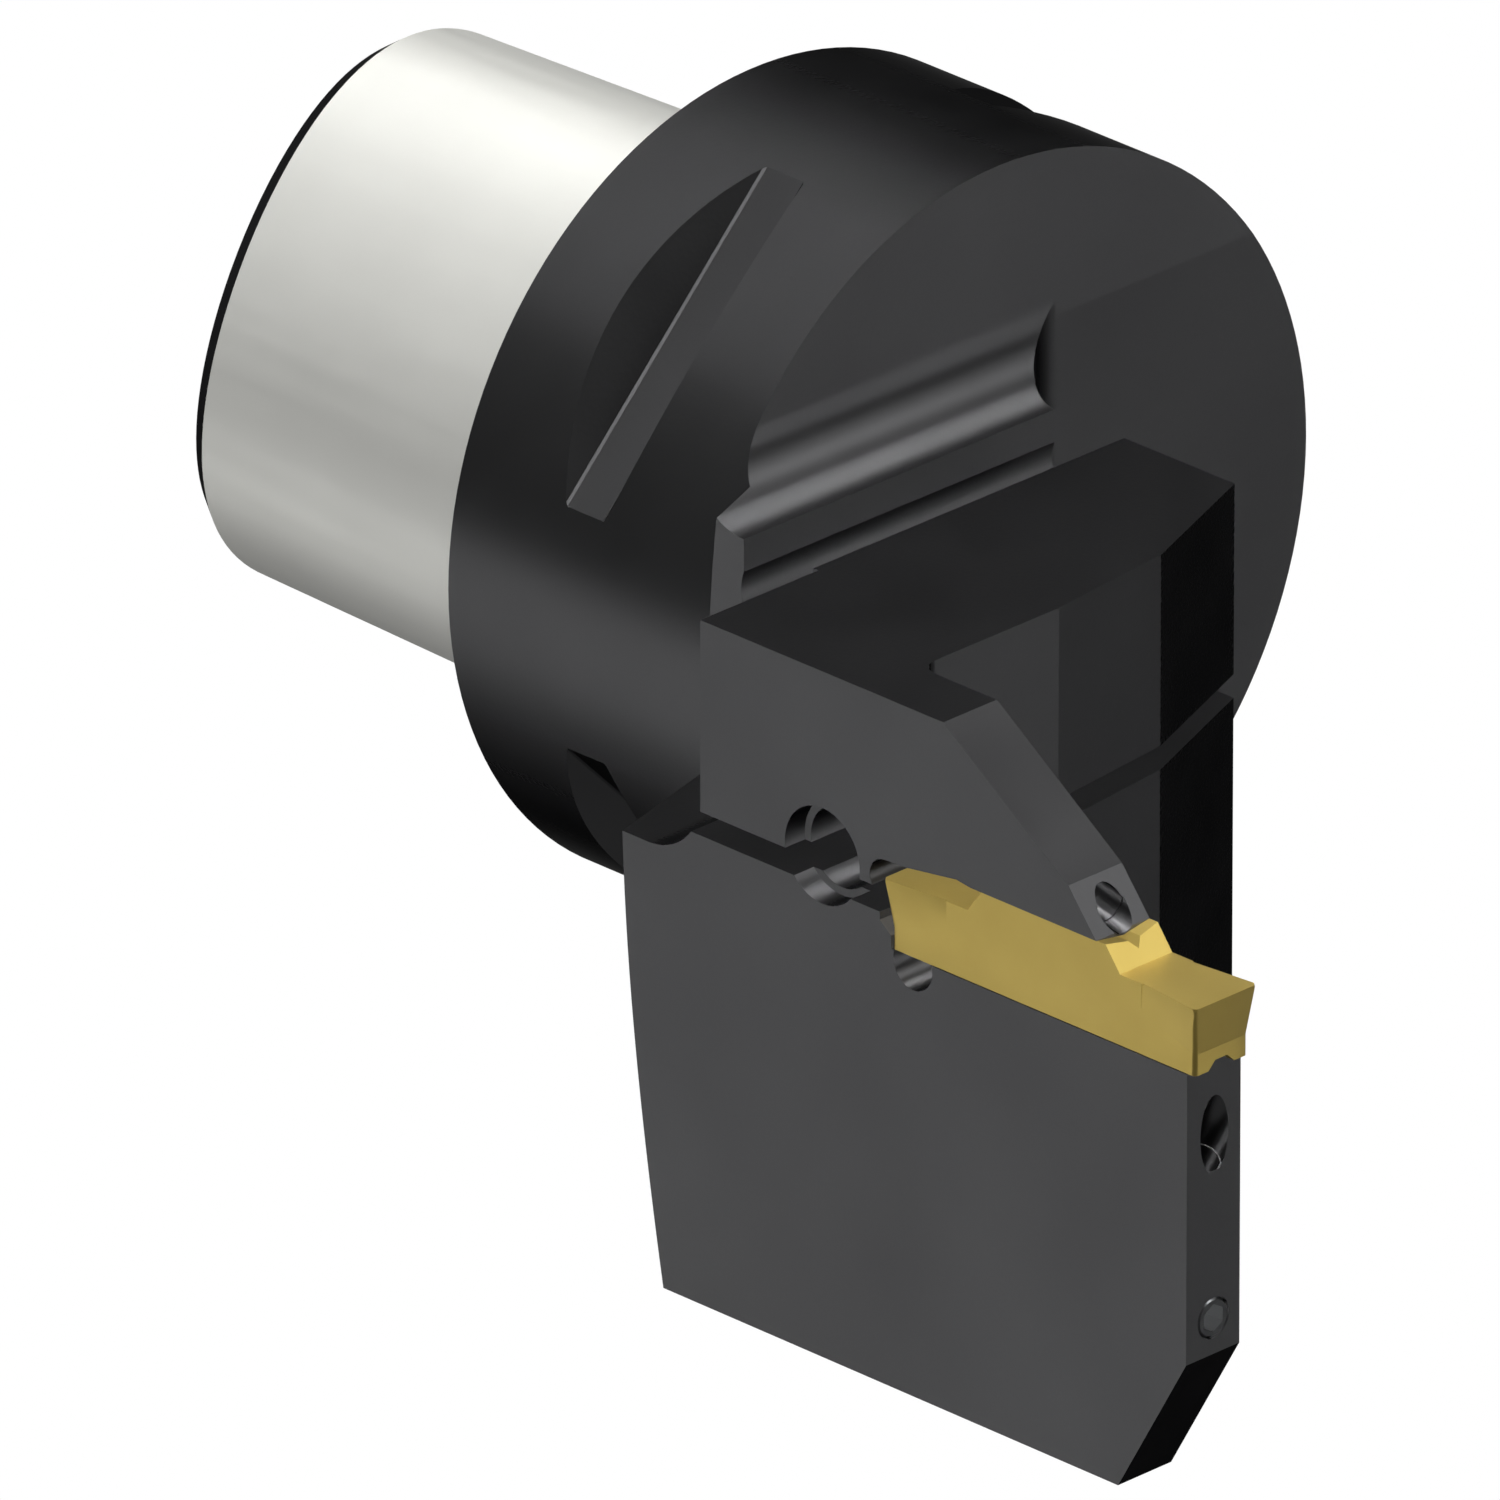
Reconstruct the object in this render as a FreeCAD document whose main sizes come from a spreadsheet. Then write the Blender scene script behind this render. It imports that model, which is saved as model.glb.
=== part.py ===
import FreeCAD, Part

# Parting tool holder with a three-lobed taper shank, a round flange and a spring jaw.
# Millimetres. The origin is on the tool axis in the flange's rear contact face,
# +X runs to the cutting edge, +Z up, and the blade lies on the -Y side.

import math
import os

import Sketcher

doc = FreeCAD.newDocument("parting_tool_holder")
V = FreeCAD.Vector
Turn = FreeCAD.Rotation

# Driving dimensions: name, millimetres or degrees, what it is.
DIMENSIONS = [
    ("flange_dia", 50.0, "flange diameter"),
    ("flange_height", 20.0, "flange thickness along the tool axis"),
    ("face_tilt", 1.9, "degrees the flange face leans back above the tilt line"),
    ("face_tilt_z", 14.3, "height of the line where the flange face starts to lean"),
    ("notch_centre", 10.0, "gripper notch centre from the contact face"),
    ("notch_width", 3.12, "gripper notch floor width along the axis"),
    ("notch_floor", 22.23, "gripper notch floor from the axis"),
    ("notch_lean", 35.5, "lean of the gripper notch walls from the radial"),
    ("notch_bevel", 0.1, "bevel along the notch's floor"),
    ("poly_dia", 35.0, "mean diameter of the three-lobed shank at the contact face"),
    ("poly_lobe", 1.12, "eccentricity of the lobes"),
    ("poly_taper", 20.0, "one millimetre on diameter in this length"),
    ("shank_length", 30.0, "shank length"),
    ("rim_length", 1.5, "length of the bevel on the shank's rear rim"),
    ("rim_depth", 1.0, "radial depth of that bevel"),
    ("bore_dia", 21.0, "clearance bore in the shank"),
    ("thread_core", 14.38, "core diameter of the draw bolt thread"),
    ("thread_rear", 14.0, "thread start behind the contact face"),
    ("thread_front", 4.0, "thread end in front of the contact face"),
    ("groove_dia", 25.0, "diameter of the clamping groove in the shank"),
    ("groove_width", 6.0, "width of the clamping groove"),
    ("groove_rear", 5.5, "clamping groove from the shank's rear end"),
    ("cone_angle", 15.0, "degrees of the relief cone behind the blade"),
    ("cone_gap", 1.25, "relief cone in front of the flange face at the flange rim"),
    ("outer_side", 34.7, "outer side of block, finger and blade from the tool axis"),
    ("blade_thick", 4.3, "thickness of the support blade and the finger"),
    ("neck_side", 25.2, "outer side of the neck from the tool axis"),
    ("neck_depth", 4.2, "neck thickness in front of the flange"),
    ("neck_fillet", 4.2, "fillet from the neck's top to the flange face"),
    ("end_fillet", 4.3, "upright fillet at the neck's inner end"),
    ("slot_width", 5.6, "slot between neck and jaw"),
    ("slot_bore_dia", 6.0, "round bottom of that slot"),
    ("slot_bore_z", 8.0, "height of the round bottom's centre"),
    ("jaw_top", 11.13, "top of the jaw"),
    ("jaw_bottom", -0.87, "bottom of the jaw above the slit"),
    ("jaw_step", 0.4, "step in the jaw's rear face outside the neck"),
    ("slit_width", 1.5, "slit between jaw and lower block"),
    ("block_front", 43.45, "front of the jaw block and lower block"),
    ("block_knee_y", 19.14, "first bend of the block's front from the tool axis"),
    ("block_cheek_x", 42.5, "block front at the second bend"),
    ("block_cheek_y", 9.9, "second bend from the tool axis"),
    ("block_end_x", 38.65, "block front at the tool axis"),
    ("corner_fillet", 1.3, "fillet between finger and block front"),
    ("block_depth", 27.0, "bottom of the lower block below the axis"),
    ("shelf_depth", 4.15, "shelf behind the blade below the axis"),
    ("shelf_end", 26.0, "shelf end from the contact face"),
    ("shelf_fillet", 4.23, "fillet at the shelf's end"),
    ("key_x", 40.0, "key hole centre from the contact face"),
    ("key_z", -0.4, "key hole centre height"),
    ("key_mouth_dia", 6.0, "key hole mouth"),
    ("key_mouth_depth", 1.6, "depth of the key hole's mouth"),
    ("key_dia", 5.0, "key hole"),
    ("key_depth", 12.0, "key hole depth"),
    ("blade_front", 69.05, "front of the support blade"),
    ("blade_bottom", 31.95, "bottom of the support blade below the axis"),
    ("blade_bevel_x", 5.35, "length of the blade's bottom bevel"),
    ("blade_bevel_z", 9.35, "height of the blade's bottom bevel"),
    ("finger_top_x", 49.65, "front end of the finger's flat top"),
    ("finger_slope_x", 59.6, "end of the finger's long slope"),
    ("finger_slope_z", 4.25, "height at that end"),
    ("finger_tip_x", 61.8, "lower front edge of the finger"),
    ("heel_relief_x", 45.0, "relief hole behind the finger's clamping face"),
    ("heel_relief_z", -0.2, "height of that hole"),
    ("heel_relief_dia", 2.4, "diameter of that hole"),
    ("heel_rise", 1.0, "finger underside above the rake plane at the relief hole"),
    ("heel_bend_x", 46.8, "first bend of the finger's underside"),
    ("heel_bend_z", 1.1, "height of that bend"),
    ("heel_crest_x", 50.7, "highest place of the finger's underside"),
    ("heel_crest_z", 1.66, "height of that place"),
    ("clamp_start_x", 51.8, "start of the finger's clamping face"),
    ("seat_relief_x", 47.25, "relief hole at the seat's rear corner"),
    ("seat_relief_z", -4.85, "height of that hole"),
    ("seat_relief_dia", 3.1, "diameter of that hole"),
    ("seat_step_x", 44.6, "slit floor end above the seat's rear stop"),
    ("edge_x", 69.95, "cutting edge from the contact face"),
    ("insert_length", 24.8, "insert length over both cutting edges"),
    ("insert_side", 34.6, "outer side of the insert's body from the tool axis"),
    ("insert_body_width", 4.2, "width of the insert's body"),
    ("cut_width", 5.0, "width of the cutting edge"),
    ("insert_depth", 4.4, "insert bottom below the rake plane"),
    ("insert_crown", 1.5, "insert top above the rake plane"),
    ("rake_length", 6.35, "length of the rake flat"),
    ("crown_run", 1.15, "length of the bright ramp up to the insert's top"),
    ("land_length", 4.65, "length of the ground side land at each edge"),
    ("land_rear_drop", 1.71, "height of the side land at its rear end"),
    ("land_front_drop", 3.1, "height of the side land at the edge"),
    ("land_inset", 0.1, "side land below the insert's side at its rear end"),
    ("clearance_angle", 7.0, "degrees of end clearance below the cutting edge"),
    ("vee_depth", 0.34, "depth of the vee along the insert's top"),
    ("chip_vee_width", 1.0, "width of the small vee that runs out of the ramp"),
    ("chip_vee_z", 0.74, "bottom of the small vee"),
    ("rail_base", 2.0, "width of the seat rail's base"),
    ("rail_top", 0.9, "width of the seat rail's top"),
    ("rail_height", 0.5, "height of the seat rail"),
    ("clamp_gap", 0.02, "gap between finger and insert"),
    ("rail_gap", 0.04, "gap around the seat rail"),
    ("stop_gap", 0.02, "gap at the insert's rear stop"),
    ("channel_dia", 2.0, "coolant channels"),
    ("feed_dia", 2.0, "coolant feeds from the draw bolt thread"),
    ("feed_y", 4.1, "coolant feeds from the tool axis"),
    ("upper_feed_z", 2.5, "height of the jaw's feed"),
    ("lower_feed_z", -4.6, "height of the block's feed"),
    ("riser_x", 27.0, "upright channel in the lower block"),
    ("cross_z", -20.34, "cross channel in the lower block and long channel in the blade"),
    ("jaw_cross_x", 34.0, "cross channel in the jaw"),
    ("jaw_cross_z", 3.75, "height of the jaw's cross channel"),
    ("finger_channel_z", 5.0, "height of the finger's channel"),
    ("finger_channel_end", 53.5, "front end of the finger's channel"),
    ("upper_jet_dia", 2.22, "upper coolant outlet"),
    ("upper_jet_angle", 12.0, "degrees the upper outlet points down"),
    ("upper_jet_x", 60.95, "centre of the upper outlet"),
    ("upper_jet_z", 2.6, "height of the upper outlet's centre"),
    ("lower_jet_dia", 2.25, "lower coolant outlet"),
    ("lower_jet_angle", 27.3, "degrees of the lower outlet from upright"),
    ("lower_jet_z", -8.86, "height of the lower outlet's centre"),
    ("jet_step", 0.2, "the outlets narrow by this on diameter inside"),
    ("upper_mouth", 0.3, "length of the upper outlet's wide part behind its mouth"),
    ("lower_mouth", 2.0, "length of the lower outlet's wide part behind its mouth"),
    ("plug_dia", 2.5, "set screw plugs"),
    ("plug_length", 3.0, "length of the plugs"),
    ("plug_socket", 1.5, "hexagon socket across flats"),
    ("plug_socket_depth", 1.3, "socket depth"),
    ("plug_bevel", 0.15, "bevel on the plug's rim"),
    ("plug_gap", 0.03, "radial gap around a plug"),
]


class Size:
    """A number that is also a formula on the sheet's cells."""

    def __init__(self, value, formula):
        self.value = value
        self.formula = formula

    def joined(self, other, value, sign):
        return Size(value, f"({self.formula} {sign} {other.formula})")

    def __add__(self, other):
        other = size(other)
        return self.joined(other, self.value + other.value, "+")

    def __sub__(self, other):
        other = size(other)
        return self.joined(other, self.value - other.value, "-")

    def __mul__(self, other):
        other = size(other)
        return self.joined(other, self.value * other.value, "*")

    def __truediv__(self, other):
        other = size(other)
        return self.joined(other, self.value / other.value, "/")

    def __radd__(self, other):
        return size(other) + self

    def __rsub__(self, other):
        return size(other) - self

    def __rmul__(self, other):
        return size(other) * self

    def __neg__(self):
        return Size(-self.value, f"(0 - {self.formula})")


def size(number):
    """A plain number as a Size, or the Size itself."""
    return number if isinstance(number, Size) else Size(float(number), repr(float(number)))


def root(number):
    return Size(math.sqrt(number.value), f"sqrt({number.formula})")


def sine(angle):
    return Size(math.sin(math.radians(angle.value)), f"sin({angle.formula})")


def cosine(angle):
    return Size(math.cos(math.radians(angle.value)), f"cos({angle.formula})")


def tangent(angle):
    return Size(math.tan(math.radians(angle.value)), f"tan({angle.formula})")


def make_sheet():
    """The sheet of driving dimensions, and each of them as a Size."""
    sheet = doc.addObject("Spreadsheet::Sheet", "Sizes")
    sizes = {}
    for row, (name, number, meaning) in enumerate(DIMENSIONS, start=1):
        sheet.set(f"A{row}", meaning)
        sheet.set(f"B{row}", str(number))
        sheet.setAlias(f"B{row}", name)
        sizes[name] = Size(number, f"Sizes.{name}")
    doc.recompute()
    return sizes


S = make_sheet()


def bind(thing, prop, amount):
    """Ties one property of a document object to the sheet."""
    thing.setExpression(prop, size(amount).formula)


def place(thing, x, y, z):
    bind(thing, "Placement.Base.x", x)
    bind(thing, "Placement.Base.y", y)
    bind(thing, "Placement.Base.z", z)


# The sketch planes: how the sketch turns, the way it is extruded and the base it starts from.
PLANES = {
    "XY": (Turn(), V(0, 0, 1), "z"),
    "XZ": (Turn(V(1, 0, 0), 90), V(0, 1, 0), "y"),
    "YZ": (Turn(V(1, 1, 1), 120), V(1, 0, 0), "x"),
}
# Each axis as the turn that brings a cylinder's own axis onto it.
AXES = {"x": Turn(V(0, 1, 0), 90), "y": Turn(V(1, 0, 0), -90), "z": Turn()}


def outline(name, corners, rotation=Turn()):
    """A closed sketch of straight runs, each corner held by the sheet."""
    sketch = doc.addObject("Sketcher::SketchObject", name)
    sketch.Placement = FreeCAD.Placement(V(), rotation)
    hold_corners(sketch, corners)
    return sketch


def hold_corners(sketch, corners):
    points = [V(size(a).value, size(b).value, 0) for a, b in corners]
    for start, end in zip(points, points[1:] + points[:1]):
        sketch.addGeometry(Part.LineSegment(start, end), False)
    count = len(points)
    for i in range(count):
        sketch.addConstraint(Sketcher.Constraint("Coincident", i, 2, (i + 1) % count, 1))
    for i, pair in enumerate(corners):
        for kind, amount in zip(("DistanceX", "DistanceY"), pair):
            rule = Sketcher.Constraint(kind, i, 1, size(amount).value)
            index = sketch.addConstraint(rule)
            sketch.setExpression(f"Constraints[{index}]", size(amount).formula)


def prism(name, plane, corners, start, end):
    """A straight-sided solid from start to end across its plane."""
    rotation, direction, base = PLANES[plane]
    sketch = outline(name + "_outline", corners, rotation)
    bind(sketch, f"Placement.Base.{base}", start)
    solid = doc.addObject("Part::Extrusion", name)
    solid.Base = sketch
    solid.DirMode = "Custom"
    solid.Dir = direction
    solid.Solid = True
    bind(solid, "LengthFwd", size(end) - start)
    return solid


def box(name, x, y, z):
    """A box between the low and high values of each axis."""
    solid = doc.addObject("Part::Box", name)
    for prop, (low, high) in zip(("Length", "Width", "Height"), (x, y, z)):
        bind(solid, prop, size(high) - low)
    place(solid, x[0], y[0], z[0])
    return solid


def rod(name, axis, start, radius, length):
    """A cylinder that runs along +axis from its start."""
    solid = doc.addObject("Part::Cylinder", name)
    solid.Placement = FreeCAD.Placement(V(), AXES[axis])
    bind(solid, "Radius", radius)
    bind(solid, "Height", length)
    place(solid, *start)
    return solid


def fused(name, *solids):
    if len(solids) == 1:
        return solids[0]
    whole = doc.addObject("Part::MultiFuse", name)
    whole.Shapes = list(solids)
    return whole


def cut(name, base, *tools):
    rest = doc.addObject("Part::Cut", name)
    rest.Base = base
    rest.Tool = fused(name + "_tools", *tools)
    return rest


# Places that several pieces share.
rim = S["flange_dia"] / 2
face = S["flange_height"]
neck_front = face + S["neck_depth"]
jaw_rear = neck_front + S["slot_width"]
jaw_rear_outer = jaw_rear + S["jaw_step"]
slot_x = (neck_front + jaw_rear) / 2
slot_r = S["slot_bore_dia"] / 2
slit_floor = S["jaw_bottom"] - S["slit_width"]
outer = -S["outer_side"]
inner = outer + S["blade_thick"]
neck_outer = -S["neck_side"]
mid_y = -S["insert_side"] + S["insert_body_width"] / 2
block_front = S["block_front"]
blade_front = S["blade_front"]
channel_r = S["channel_dia"] / 2
feed_r = S["feed_dia"] / 2
feed_y = -S["feed_y"]
plug_r = S["plug_dia"] / 2
plug_hole_r = plug_r + S["plug_gap"]
# Cutting tools reach this far past the faces that they cut.
past = size(2.0)


def relief_cone():
    """What is turned away behind the blade and blocks outside the flange's rim."""
    reach = S["outer_side"] + S["blade_bottom"]
    cone_x = face + S["cone_gap"]
    corners = [
        (face - past, rim),
        (cone_x, rim),
        (cone_x + (reach - rim) * tangent(S["cone_angle"]), reach),
        (face - past, reach),
    ]
    profile = outline("relief_profile", corners)
    ring = doc.addObject("Part::Revolution", "relief_cone")
    ring.Source = profile
    ring.Axis = V(1, 0, 0)
    ring.Base = V(0, 0, 0)
    ring.Angle = 360
    ring.Solid = True
    return ring


def block_plan(rear_corners):
    """The outline of both jaws from above, from its rear corners to the blade's inner side."""
    return rear_corners + [
        (block_front, -S["block_knee_y"]),
        (S["block_cheek_x"], -S["block_cheek_y"]),
        (S["block_end_x"], 0),
    ]


def corner_web(name, bottom, top):
    """The concave fillet between the block's front and the inner side of blade or finger."""
    far = S["corner_fillet"]
    square = box(
        name + "_square",
        (block_front, block_front + far),
        (inner, inner + far),
        (bottom, top),
    )
    round_cut = rod(
        name + "_round", "z", (block_front + far, inner + far, bottom - past), far, top - bottom + 2 * past
    )
    return cut(name, square, round_cut)


def end_round(name):
    """The upright fillet that brings the head's inner end into the flange face."""
    far = S["end_fillet"]
    low = -S["block_depth"] - past
    return rod(name, "z", (face + far, far, low), far, S["jaw_top"] + S["neck_fillet"] - low + past)


# Solids taken away from more than one piece.
relief = relief_cone()
inner_end = end_round("inner_end_round")
slot_bore = rod("slot_bore", "y", (slot_x, neck_outer - past, S["slot_bore_z"]), slot_r, S["neck_side"] + 5 * past)
key_mouth = rod(
    "key_mouth", "y", (S["key_x"], outer - past, S["key_z"]), S["key_mouth_dia"] / 2, S["key_mouth_depth"] + past
)
key_bore = rod("key_bore", "y", (S["key_x"], outer - past, S["key_z"]), S["key_dia"] / 2, S["key_depth"] + past)
upper_feed = rod(
    "upper_feed", "x", (S["thread_front"] - past, feed_y, S["upper_feed_z"]), feed_r,
    S["jaw_cross_x"] - S["thread_front"] + past,
)
lower_feed = rod(
    "lower_feed", "x", (S["thread_front"] - past, feed_y, S["lower_feed_z"]), feed_r,
    S["riser_x"] - S["thread_front"] + past,
)
block_cross = rod("block_cross", "y", (S["riser_x"], mid_y, S["cross_z"]), channel_r, past - mid_y)
shelf_box = box("shelf_box", (face - past, S["shelf_end"]), (outer - past, neck_outer), (-S["shelf_depth"], past))
shelf_round = rod(
    "shelf_round", "y",
    (S["shelf_end"], outer - past, S["shelf_fillet"] - S["shelf_depth"]), S["shelf_fillet"],
    neck_outer - outer + past,
)


def lobed_wire(x, mean_dia):
    """The three-lobed curve across the axis at x, with one lobe pointing up."""
    lobe = S["poly_lobe"].value
    count = 72
    points = []
    for i in range(count):
        t = 2 * math.pi * i / count
        across = mean_dia / 2 * math.cos(t) - lobe * math.cos(2 * t)
        up = mean_dia / 2 * math.sin(t) + lobe * math.sin(2 * t)
        lean = math.radians(30)
        points.append(
            V(x, across * math.cos(lean) - up * math.sin(lean), across * math.sin(lean) + up * math.cos(lean))
        )
    curve = Part.BSplineCurve()
    curve.interpolate(Points=points, PeriodicFlag=True)
    return Part.Wire([curve.toShape()])


def make_root():
    """The lobed root of the shank inside the flange, as long as the thread in it."""
    gauge = S["poly_dia"].value
    root_form = doc.addObject("Part::Feature", "shank_root")
    root_form.Shape = Part.makeLoft([lobed_wire(0, gauge), lobed_wire(S["thread_front"].value, gauge)], True, True)
    return root_form


shank_root = make_root()


def make_shank():
    """The ground taper shank, hollow for the draw bolt and the clamping segments."""
    length = S["shank_length"].value
    bevel = S["rim_length"].value
    gauge = S["poly_dia"].value
    rear = gauge - (length - bevel) / S["poly_taper"].value
    body = Part.makeLoft([lobed_wire(bevel - length, rear), lobed_wire(0, gauge)], True, True)
    end = Part.makeLoft(
        [lobed_wire(-length, rear - 2 * S["rim_depth"].value), lobed_wire(bevel - length, rear)], True, True
    )
    form = doc.addObject("Part::Feature", "shank_form")
    form.Shape = body.fuse(end)
    rear_x = -S["shank_length"]
    thread_x = -S["thread_rear"]
    bore = rod("shank_bore", "x", (rear_x - past, 0, 0), S["bore_dia"] / 2, thread_x - rear_x + past)
    groove = rod(
        "clamp_groove", "x", (rear_x + S["groove_rear"], 0, 0), S["groove_dia"] / 2, S["groove_width"]
    )
    thread = rod(
        "shank_thread", "x", (thread_x - past, 0, 0), S["thread_core"] / 2,
        S["thread_rear"] + S["thread_front"] + past,
    )
    whole = fused("shank_whole", form, shank_root)
    return cut("polygon_shank", whole, bore, groove, thread)


def axis_plane(body, role):
    return next(item for item in body.Origin.OriginFeatures if item.Role == role)


def body_sketch(body, name, role, offset=None):
    sketch = body.newObject("Sketcher::SketchObject", name)
    sketch.AttachmentSupport = [(axis_plane(body, role), "")]
    sketch.MapMode = "FlatFace"
    if offset is not None:
        bind(sketch, "AttachmentOffset.Base.z", offset)
    return sketch


def hold_circle(sketch, radius):
    sketch.addGeometry(Part.Circle(V(), V(0, 0, 1), size(radius).value), False)
    sketch.addConstraint(Sketcher.Constraint("Coincident", 0, 3, -1, 1))
    index = sketch.addConstraint(Sketcher.Constraint("Radius", 0, size(radius).value))
    sketch.setExpression(f"Constraints[{index}]", size(radius).formula)


def make_flange():
    """The round flange with four gripper notches, around the shank's root."""
    body = doc.addObject("PartDesign::Body", "flange_body")
    disc = body_sketch(body, "flange_disc", "YZ_Plane")
    hold_circle(disc, rim)
    pad = body.newObject("PartDesign::Pad", "flange_pad")
    pad.Profile = disc
    bind(pad, "Length", face)
    doc.recompute()
    rear = S["notch_centre"] - S["notch_width"] / 2
    front = rear + S["notch_width"]
    floor = S["notch_floor"]
    bevel = S["notch_bevel"]
    step = bevel * tangent(S["notch_lean"])
    flare = (rim + past - floor) * tangent(S["notch_lean"])
    notch = body_sketch(body, "notch_outline", "XZ_Plane")
    notch.AttachmentOffset = FreeCAD.Placement(V(), Turn(V(1, 0, 0), 45))
    hold_corners(
        notch,
        [
            (rear - flare, rim + past), (rear - step, floor + bevel), (rear + bevel, floor),
            (front - bevel, floor), (front + step, floor + bevel), (front + flare, rim + past),
        ],
    )
    pocket = body.newObject("PartDesign::Pocket", "notch_pocket")
    pocket.Profile = notch
    pocket.SideType = "Symmetric"
    bind(pocket, "Length", 2 * rim)
    doc.recompute()
    pattern = body.newObject("PartDesign::PolarPattern", "notches")
    pattern.Originals = [pocket]
    pattern.Axis = (axis_plane(body, "X_Axis"), [""])
    pattern.Angle = 360
    pattern.Occurrences = 4
    body.Tip = pattern
    doc.recompute()
    lean = (rim - S["face_tilt_z"]) * tangent(S["face_tilt"])
    tilt = prism(
        "face_tilt_cut", "XZ",
        [(face, S["face_tilt_z"]), (face + past, S["face_tilt_z"]), (face + past, rim + past), (face - lean, rim)],
        -rim - past, rim + past,
    )
    return cut("flange", body, shank_root, tilt, upper_feed, lower_feed)


def make_neck():
    """The upright root in front of the flange that carries the jaw's spring web."""
    top = S["jaw_top"] + S["neck_fillet"]
    form = prism(
        "neck_form", "XZ",
        [(face, slit_floor), (neck_front, slit_floor), (neck_front, top), (face, top)],
        neck_outer, S["end_fillet"],
    )
    ridge = rod(
        "neck_top_round", "y", (neck_front, neck_outer - past, top), S["neck_fillet"],
        S["neck_side"] + S["end_fillet"] + 2 * past,
    )
    half_slit = S["slit_width"] / 2
    slit_z = slit_floor + half_slit
    slit_end_x = neck_front - half_slit
    slit = box("slit_end", (slit_end_x, jaw_rear), (neck_outer - past, past), (slit_floor, S["jaw_bottom"]))
    slit_round = rod("slit_round", "y", (slit_end_x, neck_outer - past, slit_z), half_slit, S["neck_side"] + 2 * past)
    return cut("neck", form, relief, inner_end, slot_bore, ridge, slit, slit_round, upper_feed)


def make_web():
    """The thin web between slot and slit that bends when the jaw opens."""
    half = S["slot_width"] / 2
    shoulder = S["slot_bore_z"] - root(slot_r * slot_r - half * half)
    form = prism(
        "web_form", "XZ",
        [(neck_front, S["jaw_bottom"]), (jaw_rear, S["jaw_bottom"]), (jaw_rear, shoulder), (neck_front, shoulder)],
        neck_outer, 0,
    )
    return cut("spring_web", form, slot_bore, upper_feed)


def make_lower_block():
    """The fixed lower jaw in front of the flange, behind the blade."""
    far = S["end_fillet"]
    bottom = -S["block_depth"]
    plan = block_plan([(face, inner), (block_front, inner)])
    main = prism("lower_block_form", "XY", plan + [(face, 0)], bottom, slit_floor)
    foot = box("inner_end_foot", (face, face + far), (0, far), (bottom, slit_floor))
    web = corner_web("lower_corner", bottom, slit_floor)
    whole = fused("lower_block_whole", main, cut("inner_end", foot, inner_end), web)
    riser = rod(
        "riser", "z", (S["riser_x"], feed_y, bottom - past), channel_r, S["lower_feed_z"] - bottom + past
    )
    side_hole = rod(
        "block_side_hole", "y", (S["riser_x"], -S["plug_length"], S["cross_z"]), plug_hole_r, S["plug_length"] + past
    )
    bottom_hole = rod(
        "block_bottom_hole", "z", (S["riser_x"], feed_y, bottom - past), plug_hole_r, S["plug_length"] + past
    )
    return cut(
        "lower_block", whole, relief, shelf_box, shelf_round, key_bore, lower_feed, riser, block_cross,
        side_hole, bottom_hole,
    )


def make_blade():
    """The support blade under the insert, with the seat rail, the outlet and its channel."""
    seat_z = -S["insert_depth"]
    stop_x = S["edge_x"] - S["insert_length"] + S["land_front_drop"] * tangent(S["clearance_angle"]) - S["stop_gap"]
    form = prism(
        "blade_form", "XZ",
        [
            (face, slit_floor),
            (S["seat_step_x"], slit_floor),
            (S["seat_step_x"], slit_floor - 0.5),
            (stop_x, slit_floor - 1.2),
            (stop_x, seat_z),
            (blade_front, seat_z),
            (blade_front, S["blade_bevel_z"] - S["blade_bottom"]),
            (blade_front - S["blade_bevel_x"], -S["blade_bottom"]),
            (face, -S["blade_bottom"]),
        ],
        outer, inner,
    )
    rail = prism(
        "seat_rail", "YZ",
        [
            (mid_y - S["rail_base"] / 2, seat_z),
            (mid_y + S["rail_base"] / 2, seat_z),
            (mid_y + S["rail_top"] / 2, seat_z + S["rail_height"]),
            (mid_y - S["rail_top"] / 2, seat_z + S["rail_height"]),
        ],
        S["seat_relief_x"] + S["seat_relief_dia"] / 2, blade_front,
    )
    seat_relief = rod(
        "seat_relief", "y", (S["seat_relief_x"], outer - past, S["seat_relief_z"]), S["seat_relief_dia"] / 2,
        S["blade_thick"] + past,
    )
    channel = rod(
        "blade_channel", "x", (S["riser_x"], mid_y, S["cross_z"]), channel_r, blade_front - S["riser_x"] + past
    )
    plug_hole = rod(
        "blade_plug_hole", "x", (blade_front - S["plug_length"], mid_y, S["cross_z"]), plug_hole_r,
        S["plug_length"] + past,
    )
    jet = tilted_pair(
        "lower_jet", (blade_front, mid_y, S["lower_jet_z"]), 180 + S["lower_jet_angle"], S["lower_jet_dia"],
        S["lower_mouth"], (S["lower_jet_z"] - S["cross_z"]) / cosine(S["lower_jet_angle"]),
    )
    return cut(
        "support_blade", fused("blade_whole", form, rail), relief, shelf_box, shelf_round, key_mouth, key_bore,
        seat_relief, channel, plug_hole, block_cross, *jet,
    )


def tilted_pair(name, mouth, angle, diameter, wide, length):
    """A coolant outlet that narrows inside; angle turns it from +Z towards +X, into the metal."""
    pair = []
    for part, width, start, run in (
        ("mouth", diameter, -3 * past, 3 * past + wide),
        ("inner", diameter - S["jet_step"], size(0), length),
    ):
        solid = doc.addObject("Part::Cylinder", f"{name}_{part}")
        solid.Placement = FreeCAD.Placement(V(), Turn(V(0, 1, 0), size(angle).value))
        bind(solid, "Placement.Rotation.Angle", angle)
        bind(solid, "Radius", width / 2)
        bind(solid, "Height", run)
        place(solid, mouth[0] + start * sine(size(angle)), mouth[1], mouth[2] + start * cosine(size(angle)))
        pair.append(solid)
    return pair


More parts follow.
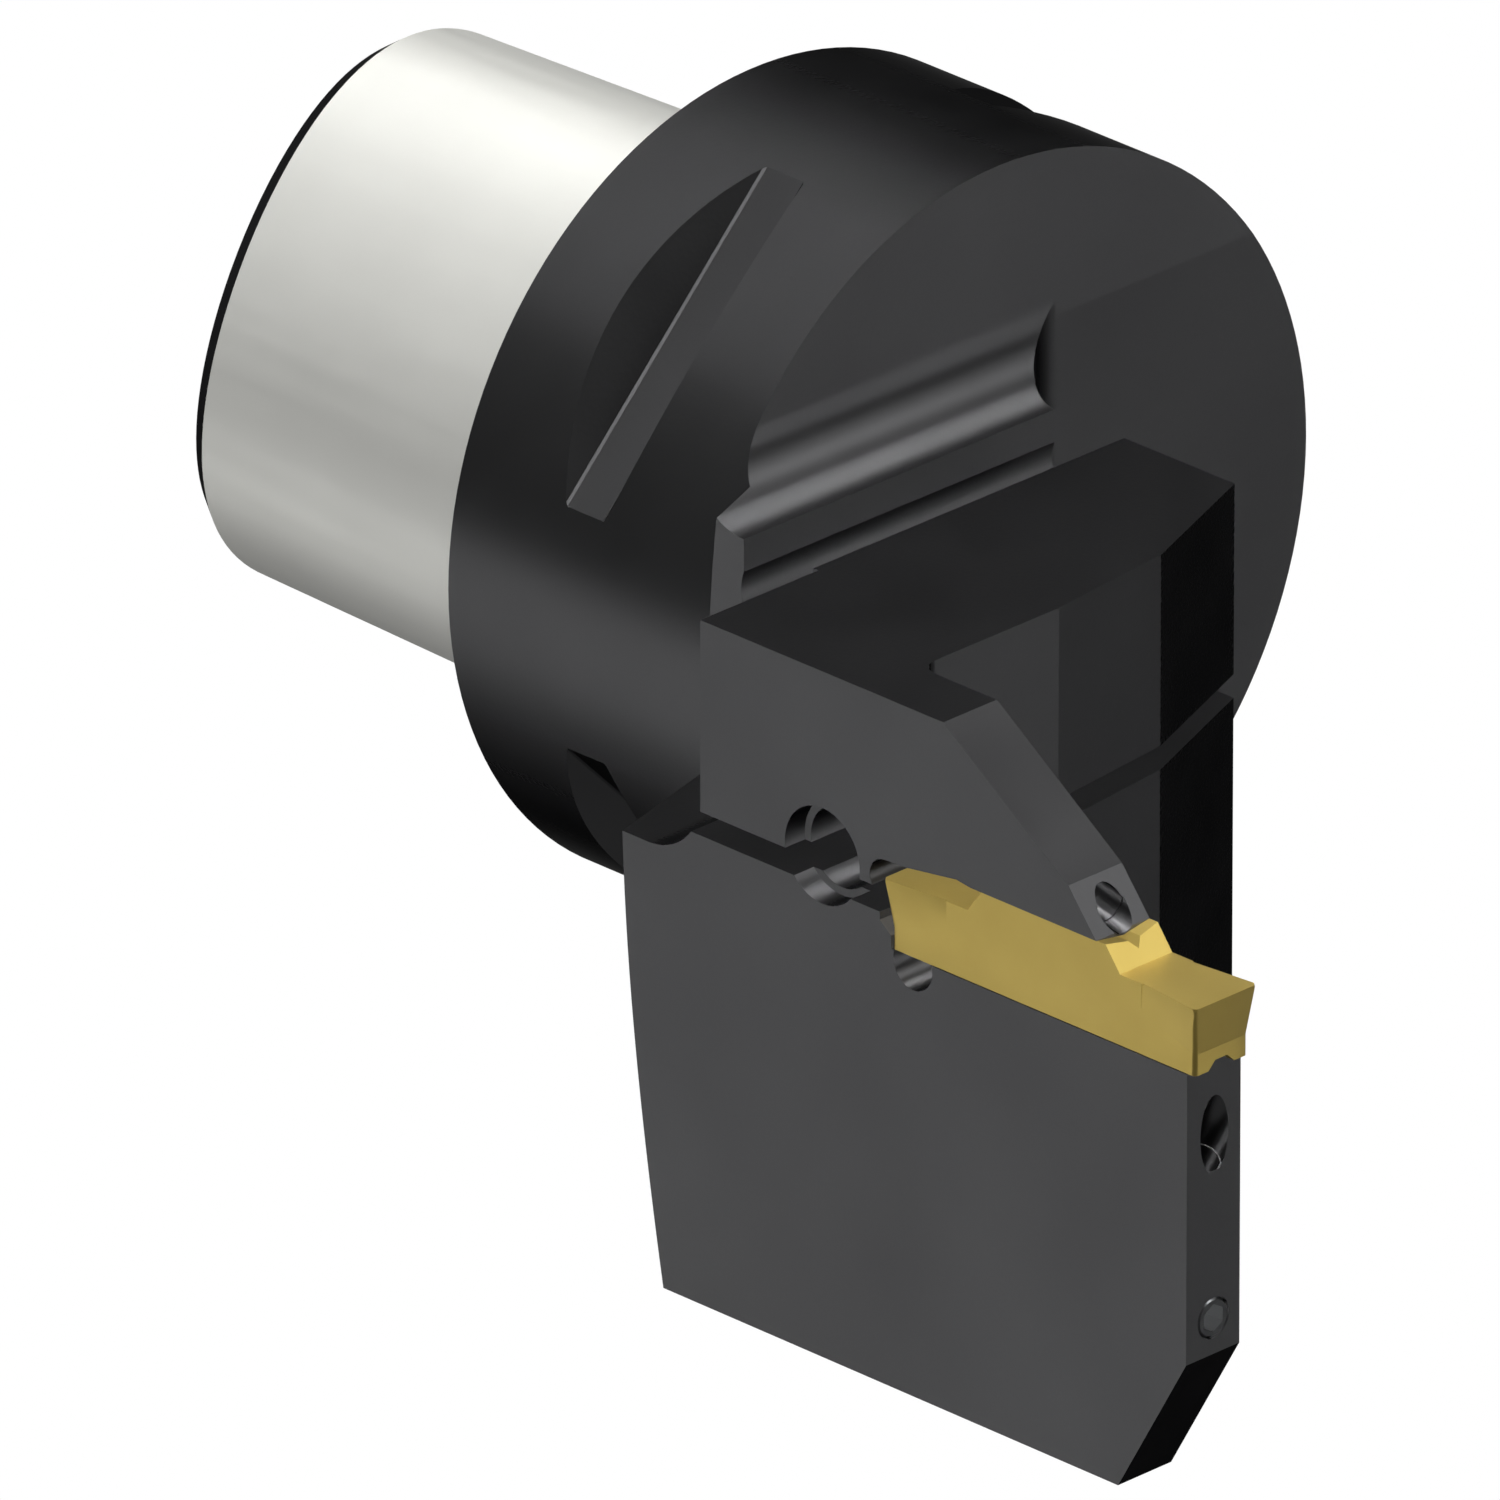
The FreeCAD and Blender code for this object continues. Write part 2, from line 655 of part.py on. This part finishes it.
def make_jaw_block():
    """The movable upper jaw in front of the slot."""
    top = S["jaw_top"]
    plan = block_plan([(jaw_rear_outer, outer), (block_front, outer)])
    plan += [(jaw_rear, 0), (jaw_rear, neck_outer), (jaw_rear_outer, neck_outer)]
    form = prism("jaw_form", "XY", plan, S["jaw_bottom"], top)
    cross = rod("jaw_cross", "y", (S["jaw_cross_x"], mid_y, S["jaw_cross_z"]), channel_r, past - mid_y)
    side_hole = rod(
        "jaw_side_hole", "y", (S["jaw_cross_x"], -S["plug_length"], S["jaw_cross_z"]), plug_hole_r,
        S["plug_length"] + past,
    )
    rear_hole = rod(
        "jaw_rear_hole", "x", (jaw_rear_outer - past, mid_y, S["finger_channel_z"]), plug_hole_r,
        S["plug_length"] + past,
    )
    return cut(
        "jaw_block", form, slot_bore, key_mouth, key_bore, upper_feed, cross, finger_channel, side_hole, rear_hole,
    )


finger_channel = rod(
    "finger_channel", "x", (jaw_rear_outer - past, mid_y, S["finger_channel_z"]), channel_r,
    S["finger_channel_end"] - jaw_rear_outer + past,
)


def make_finger():
    """The clamping finger over the insert, with the vee under it and the upper outlet."""
    top = S["jaw_top"]
    under = S["insert_crown"] + S["clamp_gap"]
    tip_x = S["finger_tip_x"]
    heel_x = S["heel_relief_x"]
    form = prism(
        "finger_form", "XZ",
        [
            (block_front, S["jaw_bottom"]),
            (heel_x, S["jaw_bottom"]),
            (heel_x, S["heel_rise"]),
            (S["heel_bend_x"], S["heel_bend_z"]),
            (S["heel_crest_x"], S["heel_crest_z"]),
            (S["clamp_start_x"], under),
            (tip_x, under),
            (S["finger_slope_x"], S["finger_slope_z"]),
            (S["finger_top_x"], top),
            (block_front, top),
        ],
        outer, inner,
    )
    vee = prism(
        "finger_vee", "YZ",
        [(outer, under), (mid_y, under - S["vee_depth"]), (inner, under)],
        S["clamp_start_x"], tip_x,
    )
    whole = fused("finger_whole", form, vee, corner_web("upper_corner", S["jaw_bottom"], top))
    heel = rod(
        "heel_relief", "y", (heel_x, outer - past, S["heel_relief_z"]), S["heel_relief_dia"] / 2,
        S["blade_thick"] + 2 * past,
    )
    run = (S["upper_jet_x"] - S["finger_channel_end"] + channel_r) / cosine(S["upper_jet_angle"])
    jet = tilted_pair(
        "upper_jet", (S["upper_jet_x"], mid_y, S["upper_jet_z"]), size(270) + S["upper_jet_angle"],
        S["upper_jet_dia"], S["upper_mouth"], run,
    )
    return cut("clamp_finger", whole, heel, finger_channel, *jet)


# The insert's own places along the tool axis.
front_land_x = S["edge_x"] - S["land_length"]
rear_edge_x = S["edge_x"] - S["insert_length"]
rear_crown_x = rear_edge_x + S["rake_length"] + S["crown_run"]
setback = S["land_front_drop"] * tangent(S["clearance_angle"])
insert_outer = -S["insert_side"]
insert_inner = insert_outer + S["insert_body_width"]


def land_section(name, x, half_top, half_bottom, drop):
    """One end section of the side lands: narrow below, as wide as the cut at the edge."""
    corners = [
        (mid_y - half_top, 0),
        (mid_y - half_bottom, -drop),
        (mid_y + half_bottom, -drop),
        (mid_y + half_top, 0),
    ]
    sketch = outline(name, corners, PLANES["YZ"][0])
    bind(sketch, "Placement.Base.x", x)
    return sketch


def make_insert():
    """The two-edged carbide insert: grooved body, ramps, rake flats and ground ends."""
    half_body = S["insert_body_width"] / 2
    bottom = -S["insert_depth"]
    crown = S["insert_crown"]
    drop = S["land_front_drop"]
    low_x = S["edge_x"] - setback
    low_rear_x = rear_edge_x + setback
    rear_land_x = rear_edge_x + S["land_length"]
    ramp_x = S["edge_x"] - S["rake_length"]
    rear_ramp_x = rear_edge_x + S["rake_length"]
    body = prism(
        "insert_form", "XZ",
        [
            (low_rear_x, bottom), (low_x, bottom), (low_x, -drop),
            (front_land_x, -S["land_rear_drop"]), (front_land_x, 0), (ramp_x, 0),
            (ramp_x - S["crown_run"], crown), (rear_crown_x, crown), (rear_ramp_x, 0),
            (rear_land_x, 0), (rear_land_x, -S["land_rear_drop"]), (low_rear_x, -drop),
        ],
        insert_outer, insert_inner,
    )
    inner_section = land_section(
        "land_rear", front_land_x, half_body - S["land_inset"], half_body, S["land_rear_drop"]
    )
    edge_section = outline(
        "land_front",
        [
            (mid_y - S["cut_width"] / 2, 0),
            (mid_y - half_body, -drop / cosine(S["clearance_angle"])),
            (mid_y + half_body, -drop / cosine(S["clearance_angle"])),
            (mid_y + S["cut_width"] / 2, 0),
        ],
        PLANES["YZ"][0],
    )
    edge_section.Placement = FreeCAD.Placement(
        V(), Turn(V(0, 1, 0), S["clearance_angle"].value).multiply(PLANES["YZ"][0])
    )
    bind(edge_section, "Placement.Base.x", S["edge_x"])
    land = doc.addObject("Part::Loft", "front_land")
    land.Sections = [inner_section, edge_section]
    land.Solid = True
    land.Ruled = True
    rear = doc.addObject("Part::Mirroring", "rear_land")
    rear.Source = land
    rear.Normal = V(1, 0, 0)
    bind(rear, "Base.x", S["edge_x"] - S["insert_length"] / 2)
    whole = fused("insert_whole", body, land, rear)
    top_vee = prism(
        "insert_top_vee", "YZ",
        [
            (insert_outer - past, crown + S["vee_depth"] * past / half_body),
            (mid_y, crown - S["vee_depth"]),
            (insert_inner + past, crown + S["vee_depth"] * past / half_body),
        ],
        rear_edge_x, S["edge_x"],
    )
    half_chip = S["chip_vee_width"] / 2
    chip_vee = prism(
        "chip_vee", "YZ",
        [(mid_y - half_chip, crown - 0.25), (mid_y, S["chip_vee_z"]), (mid_y + half_chip, crown - 0.25)],
        rear_ramp_x - past, ramp_x + past,
    )
    wide = S["rail_base"] / 2 + S["rail_gap"]
    narrow = S["rail_top"] / 2 + S["rail_gap"]
    rail_groove = prism(
        "rail_groove", "YZ",
        [
            (mid_y - wide, bottom - 0.01),
            (mid_y + wide, bottom - 0.01),
            (mid_y + narrow, bottom + S["rail_height"] + S["rail_gap"]),
            (mid_y - narrow, bottom + S["rail_height"] + S["rail_gap"]),
        ],
        rear_edge_x - past, S["edge_x"] + past,
    )
    return cut("cutting_insert", whole, top_vee, chip_vee, rail_groove)


def make_plug(name, axis, head, inward):
    """A set screw plug whose socket end lies at head; inward is the way it goes in, +1 or -1."""
    x, y, z = (size(value) for value in head)
    shift = {"x": V(1, 0, 0), "y": V(0, 1, 0), "z": V(0, 0, 1)}[axis]
    length = S["plug_length"]
    back = length if inward < 0 else size(0)
    start = [value - back * part for value, part in zip((x, y, z), shift)]
    form = rod(name + "_form", axis, start, plug_r, length)
    doc.recompute()
    beveled = doc.addObject("Part::Chamfer", name + "_bevel")
    beveled.Base = form
    rings = [
        index for index, edge in enumerate(form.Shape.Edges, start=1) if isinstance(edge.Curve, Part.Circle)
    ]
    bevel = S["plug_bevel"].value
    beveled.Edges = [(index, bevel, bevel) for index in rings]
    socket = doc.addObject("Part::Prism", name + "_socket")
    socket.Polygon = 6
    socket.Placement = FreeCAD.Placement(V(), AXES[axis])
    bind(socket, "Circumradius", S["plug_socket"] / root(size(3)))
    bind(socket, "Height", S["plug_socket_depth"] + past)
    front = past if inward > 0 else S["plug_socket_depth"]
    place(socket, *[value - front * part for value, part in zip((x, y, z), shift)])
    return cut(name, beveled, socket)


def group(name, *solids):
    pair = doc.addObject("Part::Compound", name)
    pair.Links = list(solids)
    return pair


pieces = [
    make_shank(),
    make_flange(),
    make_neck(),
    make_web(),
    make_lower_block(),
    make_blade(),
    make_jaw_block(),
    make_finger(),
    make_insert(),
    make_plug("front_plug_screw", "x", (blade_front, mid_y, S["cross_z"]), -1),
    group(
        "block_channel_plugs",
        make_plug("block_side_plug", "y", (S["riser_x"], 0, S["cross_z"]), -1),
        make_plug("block_bottom_plug", "z", (S["riser_x"], feed_y, -S["block_depth"]), 1),
    ),
    group(
        "jaw_channel_plugs",
        make_plug("jaw_side_plug", "y", (S["jaw_cross_x"], 0, S["jaw_cross_z"]), -1),
        make_plug("jaw_rear_plug", "x", (jaw_rear_outer, mid_y, S["finger_channel_z"]), 1),
    ),
]
doc.recompute()


def check(pieces):
    """Stops if an object failed or a piece has no sound solid."""
    for thing in doc.Objects:
        if {"Invalid", "Error"} & set(thing.State):
            raise RuntimeError(f"{thing.Label} failed to build: {thing.State}")
    for piece in pieces:
        shape = piece.Shape
        if shape.isNull() or not shape.isValid() or not shape.Solids:
            raise RuntimeError(f"{piece.Label} is not a sound solid")


check(pieces)
os.makedirs("parts", exist_ok=True)
for piece in pieces:
    piece.Shape.exportStep(f"parts/{piece.Label}.step")
    low, high = piece.Shape.BoundBox, piece.Shape.Volume
    print(
        f"{piece.Label:20s} solids {len(piece.Shape.Solids)} volume {high:9.1f}"
        f" X {low.XMin:7.2f} {low.XMax:7.2f} Y {low.YMin:7.2f} {low.YMax:7.2f} Z {low.ZMin:7.2f} {low.ZMax:7.2f}"
    )
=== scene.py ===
# Looks of the parting tool holder: blackened steel, a bright ground shank and a golden
# coated insert over a plain pale floor. Metres, in the frame of the CAD.

import math

import bmesh
import bpy
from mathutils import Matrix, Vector


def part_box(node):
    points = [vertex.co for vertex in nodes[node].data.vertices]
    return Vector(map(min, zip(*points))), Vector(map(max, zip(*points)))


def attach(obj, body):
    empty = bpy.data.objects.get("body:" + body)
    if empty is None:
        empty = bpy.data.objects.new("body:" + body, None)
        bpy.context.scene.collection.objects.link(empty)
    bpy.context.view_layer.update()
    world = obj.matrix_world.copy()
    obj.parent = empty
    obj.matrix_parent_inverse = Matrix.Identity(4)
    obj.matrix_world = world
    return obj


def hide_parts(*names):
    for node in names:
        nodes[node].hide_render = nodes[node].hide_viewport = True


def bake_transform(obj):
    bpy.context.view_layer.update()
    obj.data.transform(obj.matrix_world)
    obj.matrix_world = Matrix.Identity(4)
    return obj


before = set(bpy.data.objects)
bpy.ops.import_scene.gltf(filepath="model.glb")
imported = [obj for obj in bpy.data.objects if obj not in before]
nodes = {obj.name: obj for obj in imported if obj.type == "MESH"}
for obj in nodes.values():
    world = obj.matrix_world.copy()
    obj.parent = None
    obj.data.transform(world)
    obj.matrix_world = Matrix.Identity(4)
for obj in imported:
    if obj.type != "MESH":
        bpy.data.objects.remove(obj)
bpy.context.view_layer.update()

# The view: a very long lens from the front left and above, angles in degrees.
CAMERA_PLACE = (1.67926205, -1.67976034, 1.08916189)
VIEW_AZIMUTH = 45.0
VIEW_ELEVATION = 25.0
LENS = 1085.37
SENSOR = 36.0
CLIP_RANGE = (0.1, 20.0)

BLACK_NODES = [
    "flange", "neck", "spring_web", "lower_block", "support_blade", "jaw_block", "clamp_finger",
]
SHANK_NODES = ["polygon_shank"]
INSERT_NODES = ["cutting_insert"]
PLUG_NODES = ["front_plug_screw", "block_channel_plugs", "jaw_channel_plugs"]

# Noise mostly stays in this range, which is spread over the whole range that is wanted.
NOISE_REACH = (0.3, 0.7)
EVEN = (1.0, 1.0, 1.0)
GRAIN_HEIGHT = 0.00001
GRAIN_STRENGTH = 0.2
GRAIN_DETAIL = 4.0

# What a metal reflects where it is seen at a grazing angle.
DARK_EDGE = (0.2, 0.2, 0.2, 1.0)
PLAIN_EDGE = (1.0, 1.0, 1.0, 1.0)

SATIN_GRAIN_SCALE = 3500.0
SATIN_ROUGHNESS_DRIFT = 0.015

# The ground shank: its marks run round it, and its rear rim and its bore are black.
SHANK_DRIFT_SCALE = 70.0
SHANK_GRAIN_SCALE = 2500.0
SHANK_GRAIN_STRETCH = (1.0, 0.15, 0.15)
SHANK_ROUGHNESS_SCALE = 900.0
SHANK_ROUGHNESS_DETAIL = 2.0
SHANK_ROUGHNESS_DRIFT = 0.02
SHANK_ROUGHNESS_STRETCH = (0.05, 1.0, 1.0)
BLACK_RIM_DEPTH = 0.0015
BLACK_BORE_RADIUS = 0.0132

# The insert's rounding: which edges are upright ones at its ends, and at which turns in
# degrees between two faces an edge shows as a crease.
EDGE_ROUNDING = 0.00025
ROUNDING_STEPS = 4
END_BAND = 0.0005
UPRIGHT_LENGTH = 0.001
MERGE_DISTANCE = 1e-7
FLAT_TURN = 0.001
CREASE_TURNS = (6.0, 10.0)
ROUND_TURN = 28.0

FLOOR_DEPTH = 3.0
FLOOR_SIZE = (60.0, 60.0)
CARD_SIZE = (1.6, 0.8)
CARD_LIFT = 0.001
PALE = (0.8, 0.8, 0.8, 1.0)
WHITE = (1.0, 1.0, 1.0, 1.0)
MATT = 0.9
FLOOR_SHINE = 0.2

# Soft square lamps around the part: height and turn of each in degrees, and its watts.
LAMP_DISTANCE = 1.4
LAMP_WIDTH = 0.64
LAMPS_AROUND = Vector((0.02, -0.01, -0.005))
LAMPS = {
    "left_low": (-25, 225, 1.47),
    "left_under": (-50, 225, 0.7),
    "left_high": (28, 270, 1.55),
    "right_low": (-25, 45, 0.33),
    "right_level": (-8, 30, 1.85),
    "front_top": (50, 25, 12.0),
    "back_top": (50, 105, 3.8),
    "back_corner_top": (50, 145, 0.8),
    "rear_top": (50, 185, 0.75),
    "left_top": (50, 225, 1.05),
    "over_back": (75, 135, 8.65),
    "over_left": (75, 225, 3.7),
    "rear_level": (10, 195, 4.2),
    "rear_high": (28, 180, 1.0),
    "near_top": (50, 302, 3.2),
    "right_high": (31, 49, 0.95),
}
# One lamp overhead casts the part's shadow on the floor. The others cast none, because the
# photograph shows the slit, the key hole and the outlets lit to their floors.
SHADOW_LAMP = "over_left"
SURROUND = 0.14


def linear(value):
    """A grey level or colour channel as it shows, from 0 to 1, as the light that it stands for."""
    return value / 12.92 if value <= 0.04045 else ((value + 0.055) / 1.055) ** 2.4


def colour(red, green, blue):
    """A colour as it shows on a scale of 255, as an RGBA of light."""
    return tuple(linear(part / 255) for part in (red, green, blue)) + (1.0,)


def direction(height, turn):
    """The unit vector at a height above the floor's plane and a turn from +X, in degrees."""
    level = math.cos(math.radians(height))
    return Vector((
        level * math.cos(math.radians(turn)),
        level * math.sin(math.radians(turn)),
        math.sin(math.radians(height)),
    ))


def add_camera():
    """The photograph's camera."""
    data = bpy.data.cameras.new("photo_camera")
    data.lens = LENS
    data.sensor_width = SENSOR
    data.sensor_fit = "HORIZONTAL"
    data.clip_start, data.clip_end = CLIP_RANGE
    camera = bpy.data.objects.new("photo_camera", data)
    camera.location = CAMERA_PLACE
    camera.rotation_euler = (math.radians(90 - VIEW_ELEVATION), 0.0, math.radians(VIEW_AZIMUTH))
    bpy.context.collection.objects.link(camera)
    bpy.context.scene.camera = camera


def new_material(name):
    """A new material, its node tree and its shader."""
    material = bpy.data.materials.new(name)
    material.use_nodes = True
    tree = material.node_tree
    return material, tree, tree.nodes["Principled BSDF"]


def feed(tree, socket, value):
    """Link an output to a socket, or give the socket a value of its own."""
    if isinstance(value, bpy.types.NodeSocket):
        tree.links.new(value, socket)
    else:
        socket.default_value = value


def combine(tree, operation, first, second):
    """The number that the operation makes of two numbers or outputs."""
    maths = tree.nodes.new("ShaderNodeMath")
    maths.operation = operation
    feed(tree, maths.inputs[0], first)
    feed(tree, maths.inputs[1], second)
    return maths.outputs["Value"]


def blend(tree, first, second, share):
    """The colour between first and second, each a colour or an output, at the given share."""
    mix = tree.nodes.new("ShaderNodeMix")
    mix.data_type = "RGBA"
    ends = [socket for socket in mix.inputs if socket.type == "RGBA"]
    feed(tree, ends[0], first)
    feed(tree, ends[1], second)
    feed(tree, mix.inputs["Factor"], share)
    return [socket for socket in mix.outputs if socket.type == "RGBA"][0]


def object_place(tree):
    """Where a point lies, in the frame of the CAD."""
    return tree.nodes.new("ShaderNodeTexCoord").outputs["Object"]


def cloud(tree, scale, low, high, detail=3.0, stretch=EVEN):
    """A soft value between low and high that drifts over the piece; scale is per metre."""
    mapping = tree.nodes.new("ShaderNodeMapping")
    mapping.inputs["Scale"].default_value = stretch
    noise = tree.nodes.new("ShaderNodeTexNoise")
    noise.inputs["Scale"].default_value = scale
    noise.inputs["Detail"].default_value = detail
    spread = tree.nodes.new("ShaderNodeMapRange")
    limits = (*NOISE_REACH, low, high)
    for limit, value in zip(("From Min", "From Max", "To Min", "To Max"), limits):
        spread.inputs[limit].default_value = value
    tree.links.new(object_place(tree), mapping.inputs["Vector"])
    tree.links.new(mapping.outputs["Vector"], noise.inputs["Vector"])
    tree.links.new(noise.outputs["Fac"], spread.inputs["Value"])
    return spread.outputs["Result"]


def add_grain(tree, shader, scale, stretch=EVEN):
    """A very fine relief; scale is per metre."""
    bump = tree.nodes.new("ShaderNodeBump")
    bump.inputs["Strength"].default_value = GRAIN_STRENGTH
    bump.inputs["Distance"].default_value = GRAIN_HEIGHT
    feed(tree, bump.inputs["Height"], cloud(tree, scale, 0.0, 1.0, GRAIN_DETAIL, stretch))
    feed(tree, shader.inputs["Normal"], bump.outputs["Normal"])


def satin(name, dark, light, roughness, drift_scale, edge):
    """A satin metal whose colour and roughness drift a little over the piece."""
    material, tree, shader = new_material(name)
    shader.inputs["Metallic"].default_value = 1.0
    shader.inputs["Specular Tint"].default_value = edge
    add_grain(tree, shader, SATIN_GRAIN_SCALE)
    shade = blend(tree, dark, light, cloud(tree, drift_scale, 0.0, 1.0))
    least = roughness - SATIN_ROUGHNESS_DRIFT
    most = roughness + SATIN_ROUGHNESS_DRIFT
    feed(tree, shader.inputs["Base Color"], shade)
    feed(tree, shader.inputs["Roughness"], cloud(tree, drift_scale * 3, least, most))
    return material


def blackened_share(tree):
    """An output that is 1 at the shank's rear rim and in its bore, and 0 elsewhere."""
    axes = tree.nodes.new("ShaderNodeSeparateXYZ")
    tree.links.new(object_place(tree), axes.inputs["Vector"])
    rim_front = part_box("polygon_shank")[0].x + BLACK_RIM_DEPTH
    rim = combine(tree, "LESS_THAN", axes.outputs["X"], rim_front)
    across = tree.nodes.new("ShaderNodeCombineXYZ")
    for axis in ("Y", "Z"):
        tree.links.new(axes.outputs[axis], across.inputs[axis])
    radius = tree.nodes.new("ShaderNodeVectorMath")
    radius.operation = "LENGTH"
    tree.links.new(across.outputs["Vector"], radius.inputs[0])
    bore = combine(tree, "LESS_THAN", radius.outputs["Value"], BLACK_BORE_RADIUS)
    return combine(tree, "MAXIMUM", rim, bore)


def ground_shank(name, bright, dull, black, roughness):
    """Bright ground steel that turns black at its rear rim and in its bore."""
    material, tree, shader = new_material(name)
    shader.inputs["Metallic"].default_value = 1.0
    add_grain(tree, shader, SHANK_GRAIN_SCALE, SHANK_GRAIN_STRETCH)
    blackened = blackened_share(tree)
    shade = blend(tree, dull, bright, cloud(tree, SHANK_DRIFT_SCALE, 0.0, 1.0))
    feed(tree, shader.inputs["Base Color"], blend(tree, shade, black, blackened))
    feed(tree, shader.inputs["Specular Tint"], blend(tree, PLAIN_EDGE, DARK_EDGE, blackened))
    marks = cloud(
        tree,
        SHANK_ROUGHNESS_SCALE,
        roughness - SHANK_ROUGHNESS_DRIFT,
        roughness + SHANK_ROUGHNESS_DRIFT,
        SHANK_ROUGHNESS_DETAIL,
        SHANK_ROUGHNESS_STRETCH,
    )
    feed(tree, shader.inputs["Roughness"], marks)
    return material


def paint(names, material):
    """Give the nodes of these names the material."""
    for name in names:
        mesh = nodes[name].data
        mesh.materials.clear()
        mesh.materials.append(material)


def paint_all():
    """The four finishes: black steel, ground steel, golden coating and black plugs."""
    black = satin(
        "satin_black_steel", colour(74, 74, 75), colour(79, 79, 80), 0.3, 60.0, DARK_EDGE
    )
    ground = ground_shank(
        "bright_ground_steel",
        colour(230, 230, 225),
        colour(224, 224, 219),
        colour(50, 50, 51),
        0.5,
    )
    gold = satin(
        "golden_coating", colour(186, 163, 88), colour(191, 168, 92), 0.4, 200.0, PLAIN_EDGE
    )
    plug = satin(
        "black_plug_steel", colour(74, 75, 76), colour(80, 81, 82), 0.3, 300.0, DARK_EDGE
    )
    paint(BLACK_NODES, black)
    paint(SHANK_NODES, ground)
    paint(INSERT_NODES, gold)
    paint(PLUG_NODES, plug)


def round_insert_edges(mesh):
    """Round the upright edges at both ends of the insert's mesh, and set its creases."""
    low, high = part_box("cutting_insert")
    middle = (low.x + high.x) / 2
    end_start = (high.x - low.x) / 2 - END_BAND
    shape = bmesh.new()
    shape.from_mesh(mesh)
    bmesh.ops.remove_doubles(shape, verts=shape.verts, dist=MERGE_DISTANCE)
    bmesh.ops.dissolve_limit(
        shape, angle_limit=FLAT_TURN, verts=shape.verts, edges=shape.edges
    )
    upright = [
        edge for edge in shape.edges
        if min(abs(corner.co.x - middle) for corner in edge.verts) > end_start
        and abs(edge.verts[0].co.z - edge.verts[1].co.z) > UPRIGHT_LENGTH
    ]
    bmesh.ops.bevel(
        shape,
        geom=upright,
        offset=EDGE_ROUNDING,
        segments=ROUNDING_STEPS,
        profile=0.5,
        affect="EDGES",
    )
    bmesh.ops.triangulate(shape, faces=shape.faces)
    for face in shape.faces:
        face.smooth = True
    for edge in shape.edges:
        turn = math.degrees(edge.calc_face_angle(0.0))
        edge.smooth = turn < CREASE_TURNS[0] or CREASE_TURNS[1] < turn < ROUND_TURN
    shape.to_mesh(mesh)
    shape.free()
    # The shading that came with the sharp mesh no longer fits its corners.
    mesh.attributes.remove(mesh.attributes["custom_normal"])


def add_rounded_insert():
    """The insert with rounded ends, in place of the sharp one."""
    mesh = nodes["cutting_insert"].data.copy()
    mesh.name = "rounded_insert"
    round_insert_edges(mesh)
    piece = bpy.data.objects.new("rounded_insert", mesh)
    bpy.context.collection.objects.link(piece)
    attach(piece, "insert")
    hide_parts("cutting_insert")


def add_bending_web():
    """A copy of the spring web between holder and jaw, in place of the node itself."""
    piece = bpy.data.objects.new("bending_web", nodes["spring_web"].data.copy())
    bpy.context.collection.objects.link(piece)
    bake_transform(piece)
    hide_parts("spring_web")


def pale_floor():
    """A matt pale floor."""
    material, tree, shader = new_material("pale_floor")
    shader.inputs["Base Color"].default_value = PALE
    shader.inputs["Roughness"].default_value = MATT
    shader.inputs["Specular IOR Level"].default_value = FLOOR_SHINE
    return material


def white_card():
    """A pale matt card that the camera, reflections and clear surfaces see as plain white."""
    material, tree, shader = new_material("white_card")
    shader.inputs["Base Color"].default_value = PALE
    shader.inputs["Roughness"].default_value = MATT
    path = tree.nodes.new("ShaderNodeLightPath")
    seen = path.outputs["Is Camera Ray"]
    for way in ("Is Glossy Ray", "Is Transmission Ray"):
        seen = combine(tree, "MAXIMUM", seen, path.outputs[way])
    white = tree.nodes.new("ShaderNodeEmission")
    white.inputs["Color"].default_value = WHITE
    both = tree.nodes.new("ShaderNodeMixShader")
    feed(tree, both.inputs["Fac"], seen)
    feed(tree, both.inputs[1], shader.outputs["BSDF"])
    feed(tree, both.inputs[2], white.outputs["Emission"])
    feed(tree, tree.nodes["Material Output"].inputs["Surface"], both.outputs["Shader"])
    return material


def add_plane(name, size, place, turn, material):
    """A level rectangle of the stage, turned about the vertical by an angle in radians."""
    bpy.ops.mesh.primitive_plane_add(size=1.0, location=place, rotation=(0.0, 0.0, turn))
    plane = bpy.context.object
    plane.name = name
    plane.scale = (*size, 1.0)
    plane.data.materials.append(material)


def add_floor():
    """A wide pale floor far below the part, with a white card on it where the view ends."""
    add_plane("floor", FLOOR_SIZE, (0.0, 0.0, -FLOOR_DEPTH), 0.0, pale_floor())
    away = FLOOR_DEPTH / math.tan(math.radians(VIEW_ELEVATION))
    camera_turn = VIEW_AZIMUTH - 90.0
    place = direction(0.0, camera_turn + 180.0) * away
    place.z = CARD_LIFT - FLOOR_DEPTH
    add_plane("backdrop_card", CARD_SIZE, place, math.radians(camera_turn), white_card())


def add_lamps():
    """The soft lamps, each turned to the part's middle."""
    for name, (height, turn, watts) in LAMPS.items():
        data = bpy.data.lights.new(name, "AREA")
        data.shape = "SQUARE"
        data.size = LAMP_WIDTH
        data.energy = watts
        data.use_shadow = name == SHADOW_LAMP
        data.cycles.use_multiple_importance_sampling = data.use_shadow
        lamp = bpy.data.objects.new(name, data)
        way = direction(height, turn)
        lamp.location = LAMPS_AROUND + way * LAMP_DISTANCE
        lamp.rotation_euler = (-way).to_track_quat("-Z", "Y").to_euler()
        bpy.context.collection.objects.link(lamp)


def add_world():
    """A faint even surround."""
    world = bpy.data.worlds.new("surround")
    bpy.context.scene.world = world
    world.use_nodes = True
    shade = world.node_tree.nodes["Background"]
    shade.inputs["Color"].default_value = WHITE
    shade.inputs["Strength"].default_value = SURROUND


paint_all()
add_rounded_insert()
add_bending_web()
add_camera()
add_floor()
add_lamps()
add_world()

bpy.context.scene.view_settings.view_transform = "Standard"
